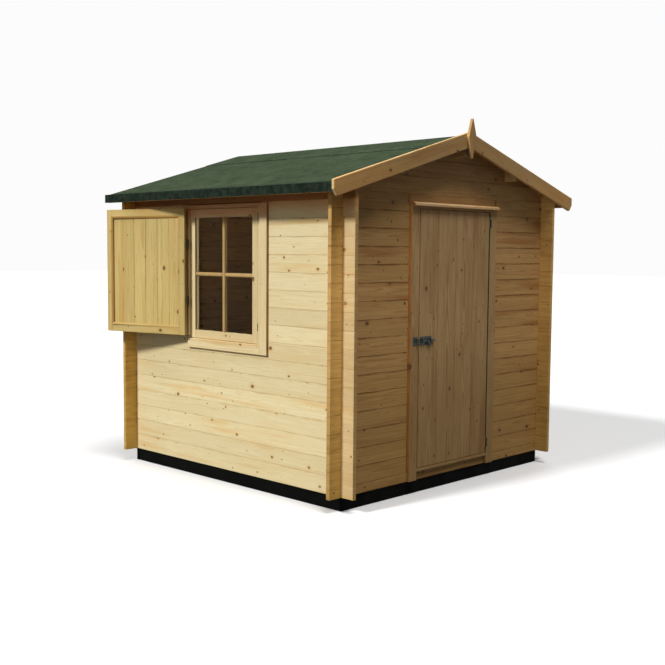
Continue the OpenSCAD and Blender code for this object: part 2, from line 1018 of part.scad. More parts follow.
module bolt_plate() {
    color(iron)
        on_base() {
            bolt_base(bolt_plate_x, bolt_plate_l);
            staple(bolt_plate_x + staple_end);
            staple(bolt_plate_x + bolt_plate_l - staple_end - staple_w);
        }
}

module bolt_keep() {
    color(iron)
        on_base() {
            bolt_base(keep_plate_x, keep_plate_l);
            keep_staple(keep_staple_x);
        }
}

// The bolt drawn back, with the lug that moves it and takes a padlock
module bolt_rod() {
    lug_x = bolt_plate_x + bolt_plate_l - staple_end - staple_w - handle_gap - handle_w;
    lug_y = bolt_y - bolt_r;
    lug_r = handle_w / 2;
    color(iron)
        on_base() {
            translate([bolt_x, bolt_y, bolt_mid_z])
                rotate([0, square_turn, 0])
                    cylinder(r = bolt_r, h = bolt_l);
            difference() {
                union() {
                    block([lug_x, lug_y, bolt_mid_z - handle_h + lug_r],
                          [lug_x + handle_w, lug_y + handle_t, bolt_mid_z]);
                    translate([lug_x + lug_r, lug_y, bolt_mid_z - handle_h + lug_r])
                        rotate([-square_turn, 0, 0])
                            cylinder(r = lug_r, h = handle_t);
                }
                translate([lug_x + lug_r, lug_y - handle_t, bolt_mid_z - handle_h + lug_r])
                    rotate([-square_turn, 0, 0])
                        cylinder(r = handle_hole_r, h = handle_t * 3);
            }
        }
}

// ---- Window ----

module window_casing() {
    color(pine)
        at_left()
            ring([window_x - casing_w / 2, 0, casing_z],
                 [window_x + casing_w / 2, casing_t, casing_z + casing_h],
                 casing_face, casing_face);
}

// Trim on three sides of the shutter's bed, and the board that hangs it
module window_trim() {
    color(pine)
        at_left() {
            block([trim_x1, -trim_t, trim_z0 - trim_foot_w],
                  [trim_x1 + trim_w, 0, trim_z1 + trim_head_w]);
            block([-shutter_hinge_x - trim_foot_past, -trim_t, trim_z0 - trim_foot_w],
                  [trim_x1 - butt_gap, 0, trim_z0]);
            block([trim_x0 - trim_w, -trim_t, trim_z1],
                  [trim_x1 - butt_gap, 0, trim_z1 + trim_head_w]);
            block([trim_x0 - trim_w, -trim_t, shutter_z],
                  [trim_x0, 0, shutter_z + shutter_h]);
        }
}

module glass_block() {
    reach_x = sash_w / 2 - sash_face + glass_bite;
    reach_z = sash_face - glass_bite;
    block([window_x - reach_x, glass_y, sash_z + reach_z],
          [window_x + reach_x, glass_y + glass_t, sash_z + sash_h - reach_z]);
}

module window_sash() {
    color(pine)
        at_left()
            difference() {
                ring([window_x - sash_w / 2, sash_set, sash_z],
                     [window_x + sash_w / 2, sash_set + sash_t, sash_z + sash_h],
                     sash_face, sash_face);
                glass_block();
            }
}

module window_glass() {
    color("lightblue")
        at_left()
            glass_block();
}

// ---- Shutter ----

module shutter_frame() {
    color(pine)
        on_shutter()
            difference() {
                ring([hinge_edge, hinge_edge, shutter_z],
                     [hinge_edge + shutter_w, hinge_edge + shutter_t, shutter_z + shutter_h],
                     shutter_stile, shutter_rail);
                block(panel_low, panel_high);
            }
}

module shutter_boards() {
    color(pine)
        on_shutter()
            board_panel(panel_low, panel_high, shutter_board_count);
}

module shutter_hinge_plates() {
    color(iron)
        at_left()
            for (z = shutter_hinge_z)
                translate([-shutter_hinge_x, shutter_pin_y, z]) {
                    pin_half()
                        trim_knuckle();
                    block([-knuckle_r - strap_l, -trim_t - shutter_pin_y - plate_t, 0],
                          [-knuckle_r + 2 * plate_t, -trim_t - shutter_pin_y, hinge_h]);
                }
}

module shutter_hinge_leaves() {
    color(iron)
        on_shutter()
            for (z = shutter_hinge_z)
                translate([0, 0, z]) {
                    knuckle_half()
                        strap_knuckle();
                    block([knuckle_r + knuckle_gap, hinge_edge - plate_t, 0],
                          [knuckle_r + strap_l, hinge_edge, hinge_h]);
                }
}

base_bearers();
floor_joists();
floor();
front_sill_log();
front_wall_left();
front_wall_right();
door_header_log();
front_gable();
window_wall_below();
window_wall_front();
window_wall_back();
window_wall_above();
right_wall();
back_wall();
back_gable();
ridge_purlin();
side_purlins();
roof_boards_left();
roof_boards_right();
felt_left();
felt_right();
ridge_felt_cap();
eave_trims();
barge_front_left();
barge_front_right();
barge_back_left();
barge_back_right();
finial();
door_frame();
drip_strip();
door_boards();
door_ledges();
door_hinge_plates();
door_hinge_leaves();
bolt_plate();
bolt_rod();
bolt_keep();
window_casing();
window_trim();
window_sash();
window_glass();
shutter_frame();
shutter_boards();
shutter_hinge_plates();
shutter_hinge_leaves();
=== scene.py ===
"""Looks of the garden cabin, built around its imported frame: timber, felt, glass and ironmongery."""

import json
import math
import random

import bmesh
import bpy
from mathutils import Matrix, Vector, noise
from mathutils.bvhtree import BVHTree


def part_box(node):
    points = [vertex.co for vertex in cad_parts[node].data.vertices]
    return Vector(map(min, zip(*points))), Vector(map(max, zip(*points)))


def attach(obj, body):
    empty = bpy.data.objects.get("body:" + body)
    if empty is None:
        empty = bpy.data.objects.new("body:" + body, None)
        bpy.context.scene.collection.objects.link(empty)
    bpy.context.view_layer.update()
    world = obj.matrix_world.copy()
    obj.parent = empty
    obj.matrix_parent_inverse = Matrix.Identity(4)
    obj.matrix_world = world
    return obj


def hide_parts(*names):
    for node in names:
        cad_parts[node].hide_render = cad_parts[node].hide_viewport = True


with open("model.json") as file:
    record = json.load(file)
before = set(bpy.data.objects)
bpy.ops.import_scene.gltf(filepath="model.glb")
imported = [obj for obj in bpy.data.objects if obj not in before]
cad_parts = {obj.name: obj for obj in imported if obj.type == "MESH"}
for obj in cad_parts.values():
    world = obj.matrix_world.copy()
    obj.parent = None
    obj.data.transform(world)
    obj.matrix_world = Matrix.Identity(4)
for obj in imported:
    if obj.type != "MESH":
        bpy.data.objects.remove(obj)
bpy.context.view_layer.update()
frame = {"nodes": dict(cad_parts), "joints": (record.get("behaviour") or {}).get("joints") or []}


# ---- Bearers and joists ----
# The cabin stands on sawn softwood bearers with joists let in between them,
# all brushed with black preservative before the logs go on.
class Tone:
    """A number, vector or colour in a material. Arithmetic adds the nodes that work it out."""

    def __init__(self, tree, socket):
        self.tree = tree
        self.socket = socket

    def node(self, kind, settings, values, out=0):
        """Adds any node: its settings first, then the values or links of its sockets."""
        made = self.tree.nodes.new(kind)
        for key, value in settings.items():
            if key == "stops":
                ramp = made.color_ramp.elements
                while len(ramp) < len(value):
                    ramp.new(0.5)
                for stop, (place, colour) in zip(ramp, value):
                    stop.position = place
                    stop.color = (*colour, 1.0)
            else:
                setattr(made, key, value)
        for key, value in values.items():
            if isinstance(value, Tone):
                self.tree.links.new(value.socket, made.inputs[key])
            else:
                made.inputs[key].default_value = value
        return Tone(self.tree, made.outputs[out])

    def also(self, out):
        """Another output of the node that made this."""
        return Tone(self.tree, self.socket.node.outputs[out])

    def maths(self, operation, *values):
        return self.node("ShaderNodeMath", {"operation": operation}, dict(enumerate(values)))

    def __add__(self, other):
        return self.maths("ADD", self, other)

    __radd__ = __add__

    def __sub__(self, other):
        return self.maths("SUBTRACT", self, other)

    def __rsub__(self, other):
        return self.maths("SUBTRACT", other, self)

    def __mul__(self, other):
        return self.maths("MULTIPLY", self, other)

    __rmul__ = __mul__

    def __truediv__(self, other):
        return self.maths("DIVIDE", self, other)

    def __pow__(self, power):
        return self.maths("POWER", self, power)

    def parts(self):
        """The three parts of a vector or colour."""
        first = self.node("ShaderNodeSeparateXYZ", {}, {0: self})
        return first, first.also(1), first.also(2)

    def ease(self, low, high, start=0.0, end=1.0):
        """Eases from start to end as this goes from low to high."""
        return self.node(
            "ShaderNodeMapRange",
            {"interpolation_type": "SMOOTHSTEP"},
            {"Value": self, "From Min": low, "From Max": high, "To Min": start, "To Max": end},
        )

    def place(self, u, v, w=0.0):
        return self.node("ShaderNodeCombineXYZ", {}, {0: u, 1: v, 2: w})

    def cloud(self, where, scale, detail=2.0):
        """Soft noise from 0 to 1."""
        return self.node(
            "ShaderNodeTexNoise",
            {"noise_dimensions": "3D"},
            {"Vector": where, "Scale": scale, "Detail": detail},
        )

    def blend(self, share, under, over, way="MIX"):
        """Lays one colour over another by a share of it."""
        return self.node(
            "ShaderNodeMix",
            {"data_type": "RGBA", "blend_type": way},
            {0: share, 6: under, 7: over},
            2,
        )


def shade(red, green, blue):
    """A colour as it is seen, from 0 to 255, as the light it sends back."""
    return tuple(((c / 255 + 0.055) / 1.055) ** 2.4 for c in (red, green, blue))


def fresh_material(name, roughness, metallic=0.0):
    """A plain material, its surface shader and a tone to start from."""
    material = bpy.data.materials.new(name)
    material.use_nodes = True
    surface = material.node_tree.nodes["Principled BSDF"]
    surface.inputs["Roughness"].default_value = roughness
    surface.inputs["Metallic"].default_value = metallic
    return material, surface, Tone(material.node_tree, None)


def feed(surface, **inputs):
    """Links tones into the surface shader's sockets."""
    for name, tone in inputs.items():
        tone.tree.links.new(tone.socket, surface.inputs[name.replace("_", " ")])


def rough_up(surface, height, strength, distance):
    """Raises and lowers the surface by a tone."""
    bump = height.node(
        "ShaderNodeBump", {}, {"Height": height, "Strength": strength, "Distance": distance}
    )
    feed(surface, Normal=bump)


def islands(mesh):
    """The separate solids of a bmesh, as lists of faces."""
    left = set(mesh.faces)
    found = []
    for face in mesh.faces:
        if face not in left:
            continue
        left.discard(face)
        group = [face]
        for reached in group:
            for edge in reached.edges:
                for near in edge.link_faces:
                    if near in left:
                        left.discard(near)
                        group.append(near)
        found.append(group)
    return found


def longest_ways(points):
    """The three directions of a stick, its length first and its thickness last."""
    middle = sum(points, Vector()) / len(points)
    spread = Matrix(((0, 0, 0), (0, 0, 0), (0, 0, 0)))
    for point in points:
        off = point - middle
        for i in range(3):
            for j in range(3):
                spread[i][j] += off[i] * off[j]
    ways = []
    for _ in range(2):
        way = Vector((0.61, 0.53, 0.59))
        for _ in range(60):
            way = spread @ way
            way.normalize()
        size = (spread @ way).dot(way)
        for i in range(3):
            for j in range(3):
                spread[i][j] -= size * way[i] * way[j]
        largest = max(range(3), key=lambda k: abs(way[k]))
        if abs(way[largest]) > 0.996:
            way = Vector([1.0 if k == largest else 0.0 for k in range(3)])
        ways.append(way)
    ways[1] = (ways[1] - ways[0] * ways[0].dot(ways[1])).normalized()
    return middle, [ways[0], ways[1], ways[0].cross(ways[1])]


def lay_grain(mesh, chance, stick_of=lambda centre: 0, painted_light_of=lambda centre: 0.0, sawn=1.0):
    """Gives each stick of timber its own run of grain: where each corner lies along, across and
    through the stick, and the stick's own chance, its share of end colour and half width. Chosen
    faces take a share as painted light and shade; sawn ends take a share of their own as end grain."""
    grain = mesh.loops.layers.float_vector.new("grain")
    stick = mesh.loops.layers.float_vector.new("stick")
    for group in islands(mesh):
        sticks = {}
        for face in group:
            sticks.setdefault(stick_of(face.calc_center_median()), []).append(face)
        for faces in sticks.values():
            points = list({vert: vert.co.copy() for face in faces for vert in face.verts}.values())
            middle, ways = longest_ways(points)
            half = max(abs((point - middle).dot(ways[1])) for point in points)
            start = chance.uniform(3.0, 40.0)
            seed = chance.random()
            for face in faces:
                worn = painted_light_of(face.calc_center_median())
                if abs(face.normal.dot(ways[0])) > 0.8:
                    worn = sawn
                for loop in face.loops:
                    off = loop.vert.co - middle
                    loop[grain] = (off.dot(ways[0]) + start, off.dot(ways[1]), off.dot(ways[2]))
                    loop[stick] = (seed, worn, half)


def copy_of(nodes):
    """A merged copy of CAD nodes, with flat faces joined up."""
    mesh = bmesh.new()
    for node in nodes:
        mesh.from_mesh(frame["nodes"][node].data)
    for layer in list(mesh.loops.layers.uv.values()):
        mesh.loops.layers.uv.remove(layer)
    bmesh.ops.remove_doubles(mesh, verts=mesh.verts, dist=2e-5)
    bmesh.ops.dissolve_limit(
        mesh, angle_limit=math.radians(0.5), verts=mesh.verts, edges=mesh.edges
    )
    return mesh


def ease_arrises(mesh, size, steps=2, sharpest=35):
    """Takes the sharp arrises off a piece."""
    sharp = [
        edge
        for edge in mesh.edges
        if len(edge.link_faces) == 2 and edge.calc_face_angle(0.0) > math.radians(sharpest)
    ]
    bmesh.ops.bevel(
        mesh,
        geom=sharp,
        offset=size,
        offset_type="OFFSET",
        segments=steps,
        profile=0.5,
        affect="EDGES",
        clamp_overlap=True,
        material=-1,
    )


def set_out(mesh, name, material, body, nodes=(), smooth=False):
    """Makes a finished mesh a piece that rides on its body."""
    data = bpy.data.meshes.new(name)
    mesh.to_mesh(data)
    mesh.free()
    for face in data.polygons:
        face.use_smooth = smooth
    data.materials.append(material)
    piece = bpy.data.objects.new(name, data)
    bpy.context.scene.collection.objects.link(piece)
    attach(piece, body)
    if nodes:
        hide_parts(*nodes)
    return piece


def cut_at(mesh, point, normal):
    """Scores every face that a plane crosses, so that a joint falls on an edge."""
    bmesh.ops.bisect_plane(
        mesh,
        geom=list(mesh.verts) + list(mesh.edges) + list(mesh.faces),
        dist=1e-6,
        plane_co=point,
        plane_no=normal,
    )


def black_preservative():
    material, surface, start = fresh_material("black preservative", 0.85)
    surface.inputs["Specular IOR Level"].default_value = 0.04
    where = start.node("ShaderNodeTexCoord", {}, {}, "Object")
    patches = start.cloud(where, 9.0, 4.0)
    sawn = start.cloud(where, 190.0)
    colour = start.blend(patches, (*shade(3, 4, 3), 1), (*shade(13, 13, 12), 1))
    feed(surface, Base_Color=colour, Roughness=patches.ease(0.3, 0.7, 0.75, 0.95))
    rough_up(surface, sawn, 0.35, 0.0006)
    return material


tarred = black_preservative()
for node in ("base_bearers", "floor_joists"):
    timber = copy_of([node])
    ease_arrises(timber, 0.002)
    set_out(timber, node + "_tarred", tarred, "cabin", [node])


# ---- Log walls ----
# Planed pine logs, tongued and grooved, laid course on course and notched over
# each other at the corners, where their sawn ends run on past the walls.
def pine(name, early, late, warm, knot, end, figure=1.0, seam=0.8, sheen=0.66, tints=()):
    """Planed pine: rings round a pith behind the face, heartwood, knots and end grain. Faces given
    a share of the end colour beyond their sawn ends carry it as painted light and shade. Tints
    multiply
    it between two heights: darker towards the bottom, painted shade under the eaves and roof edges,
    and darker near the apex on the barge boards."""
    material, surface, start = fresh_material(name, sheen)
    surface.inputs["Specular IOR Level"].default_value = 0.2
    u, v, w = start.node(
        "ShaderNodeAttribute", {"attribute_name": "grain"}, {}, "Vector"
    ).parts()
    seed, worn, half = start.node(
        "ShaderNodeAttribute", {"attribute_name": "stick"}, {}, "Vector"
    ).parts()
    first, second, third = start.node(
        "ShaderNodeTexWhiteNoise", {"noise_dimensions": "1D"}, {"W": seed * 71.0}, "Color"
    ).parts()

    # Knots, each a branch sawn across: a few large ones, with pin knots between them
    def knots(length, width, smallest, largest, share):
        shift = seed * 57.0
        cell = start.node(
            "ShaderNodeTexVoronoi",
            {"voronoi_dimensions": "2D", "feature": "F1"},
            {"Vector": start.place(u / length + shift, v / width + shift), "Scale": 1.0},
            "Position",
        )
        cell_u, cell_v, _ = cell.parts()
        size, there, _ = cell.also("Color").parts()
        off_u = u - (cell_u - shift) * length
        off_v = v - (cell_v - shift) * width
        wobble = start.cloud(start.place(u, v, w), 160.0)
        far = (off_u**2 * 0.55 + off_v**2) ** 0.5 * (wobble * 0.8 + 0.6)
        radius = size * size * (largest - smallest) + smallest
        return far / radius, there.ease(1.0 - share, 1.02 - share)

    near, kept = knots(0.34, 0.11, 0.004, 0.0115, 0.5)
    pin_near, pin_kept = knots(0.17, 0.07, 0.0012, 0.004, 0.5)
    halo = near.ease(0.9, 3.4, 1.0, 0.0) * kept
    core = near.ease(0.8, 1.15, 1.0, 0.0) * kept
    rim = near.ease(0.3, 0.9) * core
    pins = pin_near.ease(0.8, 1.4, 1.0, 0.0) * pin_kept

    # Rings round the pith, which wanders along the stick and bends round a knot
    wander = start.cloud(start.place(u * 0.9, seed * 40.0, 0.0), 1.0, 1.0) - 0.5
    ripple = start.cloud(start.place(u * 3.0, v * 22.0, w * 22.0), 1.0, 2.0) - 0.5
    pith_v = v + (first - 0.5) * 0.06 + wander * 0.07
    pith_w = w + second * 0.045 + 0.018 + wander * 0.04
    ring = (pith_v**2 + pith_w**2) ** 0.5 + ripple * 0.006 + halo * 0.007
    band = start.maths("FRACT", ring / 0.0062)
    late_wood = band.ease(0.35, 0.93) * band.ease(0.94, 1.0, 1.0, 0.0)
    fibre = start.cloud(start.place(u * 7.0, v * 620.0, w * 620.0), 1.0, 2.0)
    stain = start.cloud(start.place(u * 1.6, v * 9.0, seed * 9.0), 1.0, 3.0)
    heart = start.cloud(start.place(u * 1.1, v * 14.0, seed * 23.0), 1.0, 3.0)

    colour = start.blend(
        late_wood * (0.6 * figure) + stain.ease(0.35, 0.75, 0.0, 0.4 * figure),
        (*shade(*early), 1),
        (*shade(*late), 1),
    )
    heart = heart.ease(0.5, 0.7) * third.ease(0.2, 0.8, 0.25, 0.85) + halo * 0.35
    colour = start.blend(heart, colour, (*shade(*warm), 1))
    mottle = start.cloud(start.place(u * 5.0, v * 42.0, w * 12.0), 1.0, 3.0).ease(0.42, 0.68)
    # End grain on sawn ends; on other faces given a share of the end colour, painted light and shade.
    ends = start.blend(mottle * 0.3, (*shade(*end), 1), (*shade(*warm), 1))
    colour = start.blend(worn * 0.8, colour, ends)
    dashes = start.cloud(start.place(u * 8.0, v * 90.0, seed * 17.0), 1.0, 2.0)
    colour = start.blend(dashes.ease(0.56, 0.74, 0.0, 0.45 * figure), colour, (*shade(*warm), 1))
    faint = 1.0 - worn * 0.5
    dark_knot = tuple(c * 0.6 for c in knot)
    colour = start.blend(core * 0.9 * faint, colour, (*shade(*knot), 1))
    colour = start.blend(rim * 0.8 * faint, colour, (*shade(*dark_knot), 1))
    colour = start.blend(pins * 0.85 * faint, colour, (*shade(*dark_knot), 1))
    level = second.ease(0.0, 1.0, 0.92, 1.05) * fibre.ease(0.2, 0.8, 0.94, 1.05)
    patchy = start.cloud(start.place(u * 5.0, seed * 31.0, 0.0), 1.0, 3.0).ease(0.35, 0.65)
    joint = start.maths("ABSOLUTE", v) - half + patchy * 0.003
    edge = 1.0 - joint.ease(-0.006, -0.001, 0.0, 1.0 - seam) * (patchy * 0.9 + 0.5)
    level = level * (edge * (1.0 - worn) + worn)
    grey = start.node(
        "ShaderNodeCombineColor", {}, {0: level, 1: level**1.15, 2: level**1.4}
    )
    colour = start.blend(1.0, colour, grey, "MULTIPLY")
    # Height tints: darker towards the bottom, painted shade under the eaves and roof edges, darker
    # near the apex on the barge boards.
    for free, full, tint in tints:
        height = start.node("ShaderNodeTexCoord", {}, {}, "Object").parts()[2]
        if free < full:
            share = (height + stain * 0.03).ease(free, full)
        else:
            share = (height + stain * 0.3).ease(full, free, 1.0, 0.0)
        colour = start.blend(share, colour, (*tint, 1), "MULTIPLY")
    feed(
        surface,
        Base_Color=colour,
        Roughness=fibre.ease(0.2, 0.8, sheen - 0.06, sheen + 0.08) - core * 0.12,
    )
    rough_up(surface, fibre * 0.6 + late_wood * 0.5 + core * 0.8, 0.3, 0.0007)
    return material


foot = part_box("front_sill_log")[0].z
course = 2 * (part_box("front_sill_log")[1].z - foot)
# The pale side wall pine and the browner end wall pine are sunlit and shaded copies of one timber:
# painted light and shade. The side wall's tint high up is painted shade, redder, under the eave; its
# brown end colour is end grain and painted shade on the log ends facing the front.
sunlit_side_pine = pine(
    "side wall pine",
    early=(236, 220, 174),
    late=(221, 196, 140),
    warm=(224, 188, 124),
    knot=(150, 102, 52),
    end=(174, 124, 56),
    figure=0.75,
    seam=0.88,
    tints=((1.83, 1.91, (1.0, 0.78, 0.68)),),
)
# Its bright golden end colour is end grain and painted bounce light on the log ends past the corners;
# its tints make it darker towards the bottom and lay painted shade on the gables under the roof.
shaded_end_pine = pine(
    "end wall pine",
    early=(207, 164, 104),
    late=(172, 126, 74),
    warm=(168, 112, 62),
    knot=(88, 52, 30),
    end=(253, 208, 118),
    figure=0.9,
    seam=0.66,
    tints=((1.4, 0.45, (0.75, 0.74, 0.64)), (1.93, 2.2, (0.8, 0.8, 0.86))),
)
# A darker, redder copy for the side wall's top log: painted shade under the eave.
eave_shaded_pine = pine(
    "eave log pine",
    early=(182, 128, 76),
    late=(150, 100, 54),
    warm=(150, 90, 44),
    knot=(76, 42, 22),
    end=(196, 150, 78),
    figure=0.9,
    seam=0.6,
)
wall_face = -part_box("window_wall_below")[0].x
log_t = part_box("window_wall_below")[1].x + wall_face
# Share of end colour on the walls' inner faces: painted light inside the cabin.
inside_painted_light = 0.6


def log_wall(node, first, material, along, worn, sawn):
    """One stretch of logs, scored at every joint so that each log has its own grain. Where the logs
    run on past the corners they take a share of the end colour as painted bounce light, inner faces a
    smaller share as painted light inside, and sawn ends a share as end grain."""
    wall = copy_of([node])
    low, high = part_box(node)
    count = int((high.z - first) / course) + 1
    for i in range(count):
        joint = first + i * course
        if low.z + 1e-3 < joint < high.z - 1e-3:
            cut_at(wall, (0, 0, joint), (0, 0, 1))
    way = Vector((0, 0, 0))
    way[along] = 1.0
    for end in (-wall_face, wall_face):
        cut_at(wall, way * end, way)
    lay_grain(
        wall,
        random.Random(node),
        lambda centre: math.floor((centre.z - first) / course),
        lambda centre: worn
        if abs(centre[along]) > wall_face
        else inside_painted_light * (abs(centre[1 - along]) < wall_face - log_t / 2),
        sawn,
    )
    set_out(wall, node + "_logs", material, "cabin", [node])


for node in ("window_wall_below", "window_wall_front", "window_wall_back"):
    log_wall(node, foot, sunlit_side_pine, 1, 0.55, 1.0)
log_wall("window_wall_above", foot, eave_shaded_pine, 1, 0.55, 0.6)
log_wall("right_wall", foot, shaded_end_pine, 1, 0.7, 0.6)
for node in ("front_sill_log", "front_wall_left", "front_wall_right", "door_header_log"):
    log_wall(node, foot - course / 2, shaded_end_pine, 0, 0.7, 0.2)
# The back wall's logs take the end colour in full past the corner: painted light.
for node in ("front_gable", "back_wall", "back_gable"):
    log_wall(node, foot - course / 2, shaded_end_pine, 0, 1.25, 0.6)


# ---- Floor, roof boards, purlins and eave battens ----
# Sawn pine carcass: the floor and roof are tongued boards, the purlins run from
# gable to gable under them and a batten stiffens the boards along each eave.
# Its very dark end colour is end grain, darkened further as painted shade on the purlin ends under
# the roof.
carcass_pine = pine(
    "carcass pine",
    early=(214, 184, 130),
    late=(190, 152, 96),
    warm=(190, 142, 84),
    knot=(116, 72, 38),
    end=(74, 50, 30),
)
board_w = 0.095


def boarded(node, step_x, step_y):
    """A sheet of boards, scored where they meet."""
    sheet = copy_of([node])
    low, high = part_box(node)
    for axis, step in ((0, step_x), (1, step_y)):
        if not step:
            continue
        normal = [0, 0, 0]
        normal[axis] = 1
        for i in range(1, int((high[axis] - low[axis]) / step) + 1):
            point = [0, 0, 0]
            point[axis] = low[axis] + i * step
            cut_at(sheet, point, normal)
    start = Vector((low.x, low.y, 0))

    def board(centre):
        off = centre - start
        return (
            math.floor(off.x / step_x) if step_x else 0,
            math.floor(off.y / step_y) if step_y else 0,
        )

    lay_grain(sheet, random.Random(node), board)
    set_out(sheet, node + "_boards", carcass_pine, "cabin", [node])


boarded("floor", board_w, 0)
boarded("roof_boards_left", 0, board_w)
boarded("roof_boards_right", 0, board_w)


def timbers(nodes, name, material, body, arris=0.0015, painted_light_of=lambda centre: 0.0):
    """Separate planed timbers, their arrises eased and each with its own grain."""
    piece = copy_of(nodes)
    ease_arrises(piece, arris)
    lay_grain(piece, random.Random(name), painted_light_of=painted_light_of)
    return set_out(piece, name, material, body, nodes)


timbers(["ridge_purlin", "side_purlins"], "purlins", carcass_pine, "cabin")
timbers(["eave_trims"], "eave_battens", carcass_pine, "cabin")


# ---- Roofing felt ----
# Green mineral felt: a sheet on each slope, turned down over the eave and the
# back barge board, and a cap over the ridge held by galvanised clout nails.
# Where the sheets turn down, and in a band on the slope just above, the felt is darker: partly
# bitumen showing where the mineral has rubbed off, partly painted shade on the fold.
def mineral_felt():
    material, surface, start = fresh_material("green mineral felt", 0.93)
    surface.inputs["Specular IOR Level"].default_value = 0.0
    where = start.node("ShaderNodeTexCoord", {}, {}, "Object")
    turned = start.node("ShaderNodeAttribute", {"attribute_name": "turned"}, {}, "Fac")
    grit = start.node(
        "ShaderNodeTexVoronoi", {}, {"Vector": where, "Scale": 420.0}, "Color"
    ).parts()[0]
    coarse = start.cloud(where, 130.0, 3.0)
    worn = start.cloud(where, 3.2, 4.0)
    scuffs = start.cloud(where, 11.0, 5.0).ease(0.3, 0.7, 0.82, 1.12)
    scuffs = start.node("ShaderNodeCombineColor", {}, {0: scuffs, 1: scuffs, 2: scuffs})
    colour = start.node(
        "ShaderNodeValToRGB",
        {
            "stops": [
                (0.0, shade(31, 38, 27)),
                (0.45, shade(54, 65, 48)),
                (0.8, shade(72, 84, 65)),
                (1.0, shade(106, 117, 96)),
            ]
        },
        {0: grit * 0.6 + coarse * 0.25 + worn * 0.25},
    )
    colour = start.blend(1.0, colour, scuffs, "MULTIPLY")
    # Bitumen where the mineral has gone, and painted shade on the fold at the eave.
    bitumen = start.blend(
        start.cloud(where, 30.0, 4.0).ease(0.3, 0.75),
        (*shade(29, 38, 31), 1),
        (*shade(50, 60, 50), 1),
    )
    colour = start.blend(turned, colour, bitumen)
    feed(surface, Base_Color=colour)
    rough_up(surface, grit * 0.6 + coarse * 0.8 + worn * 3.0, 0.5, 0.0012)
    return material


def heads(name, spots, radius, rise, material, body, slotted=False):
    """Nail or screw heads, each at a point and standing along a direction."""
    made = []
    for point, way in spots:
        head = bmesh.new()
        bmesh.ops.create_cone(
            head, cap_ends=True, segments=12, radius1=radius, radius2=radius * 0.8, depth=rise
        )
        if slotted:
            for side in (-1, 1):
                cut_at(head, (side * radius * 0.14, 0, 0), (1, 0, 0))
            slit = [
                face
                for face in head.faces
                if face.normal.z > 0.9 and abs(face.calc_center_median().x) < radius * 0.1
            ]
            floor = bmesh.ops.extrude_discrete_faces(head, faces=slit)["faces"]
            for vert in {vert for face in floor for vert in face.verts}:
                vert.co.z -= rise * 0.6
        turn = way.to_track_quat("Z", "Y").to_matrix().to_4x4()
        spin = Matrix.Rotation(math.radians(37 * len(made)), 4, "Z")
        head.transform(Matrix.Translation(point + way * rise * 0.4) @ turn @ spin)
        made.append(head)
    return set_out(join(made), name, material, body)


def zinc():
    material, surface, start = fresh_material("galvanised steel", 0.6, 0.3)
    where = start.node("ShaderNodeTexCoord", {}, {}, "Object")
    patches = start.cloud(where, 300.0, 3.0)
    colour = start.blend(patches, (*shade(58, 62, 60), 1), (*shade(98, 102, 100), 1))
    feed(surface, Base_Color=colour, Roughness=patches.ease(0.3, 0.7, 0.5, 0.7))
    return material


def join(pieces):
    """Several bmeshes as one."""
    whole = bmesh.new()
    for piece in pieces:
        data = bpy.data.meshes.new("part")
        piece.to_mesh(data)
        piece.free()
        whole.from_mesh(data)
        bpy.data.meshes.remove(data)
    return whole


felt_green = mineral_felt()
clout = zinc()
clout_gap = 0.15
clout_edge = 0.022
turned_band = 0.09
lift_band = 0.05
for node in ("felt_left", "felt_right", "ridge_felt_cap"):
    felt = copy_of([node])
    low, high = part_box(node)
    for i in range(1, int((high.y - low.y) / 0.08)):
        cut_at(felt, (0, low.y + i * 0.08, 0), (0, 1, 0))
    for i in range(1, int((high.x - low.x) / 0.09)):
        cut_at(felt, (low.x + i * 0.09, 0, 0), (1, 0, 0))
    if node == "ridge_felt_cap":
        over = BVHTree.FromBMesh(felt)
        spots = []
        for i in range(int((high.y - low.y) / clout_gap)):
            for x in (low.x + clout_edge, high.x - clout_edge):
                above = Vector((x, low.y + 0.06 + i * clout_gap, 5))
                spots.append(over.ray_cast(above, Vector((0, 0, -1)))[:2])
        heads("cap_clouts", spots, 0.0048, 0.0012, clout, "cabin")
    for vert in felt.verts:
        inner = min(1.0, max(0.0, min(vert.co.y - low.y, high.y - vert.co.y) / lift_band))
        if any(face.normal.z > 0.5 for face in vert.link_faces):
            sag = 0.5 + 0.5 * noise.noise(Vector((vert.co.x * 4, vert.co.y * 7, 3)))
            vert.co.z -= 0.0012 * sag * inner
        elif vert.co.z < low.z + 0.004 and node != "ridge_felt_cap":
            vert.co.z += 0.0035 * inner * (0.5 + 0.5 * noise.noise(Vector((2, vert.co.y * 9, 5))))
    # Share of the dark colour: full on faces turned down, rising over a band before the eave: partly
    # bitumen, partly painted shade.
    turned = felt.loops.layers.float.new("turned")
    eave = 1.0 if node == "ridge_felt_cap" else max(-low.x, high.x)
    for part in felt.faces:
        for loop in part.loops:
            near = (abs(loop.vert.co.x) - eave + turned_band) / turned_band
            loop[turned] = 1.0 if part.normal.z < 0.3 else min(0.85, max(0.0, near))
    set_out(felt, node + "_sheet", felt_green, "cabin", [node])


# ---- Barge boards and finial ----
# Planed boards that close the ends of the roof, and a diamond finial over
# their joint at the front.
# Its tint makes the boards darker and bluer towards the apex. A seam above one lightens the long
# edges of each board: a painted highlight along the arrises.
barge_pine = pine(
    "barge pine",
    early=(204, 158, 98),
    late=(176, 128, 70),
    warm=(170, 112, 58),
    knot=(92, 52, 26),
    end=(226, 198, 140),
    figure=0.8,
    seam=1.3,
    tints=((2.04, 2.2, (0.82, 0.88, 0.98)),),
)
for side in ("left", "right"):
    for end in ("front", "back"):
        timbers(
            [f"barge_{end}_{side}"],
            f"barge_board_{end}_{side}",
            barge_pine,
            "cabin",
            0.005,
        )
timbers(["finial"], "finial_board", barge_pine, "cabin", 0.002)


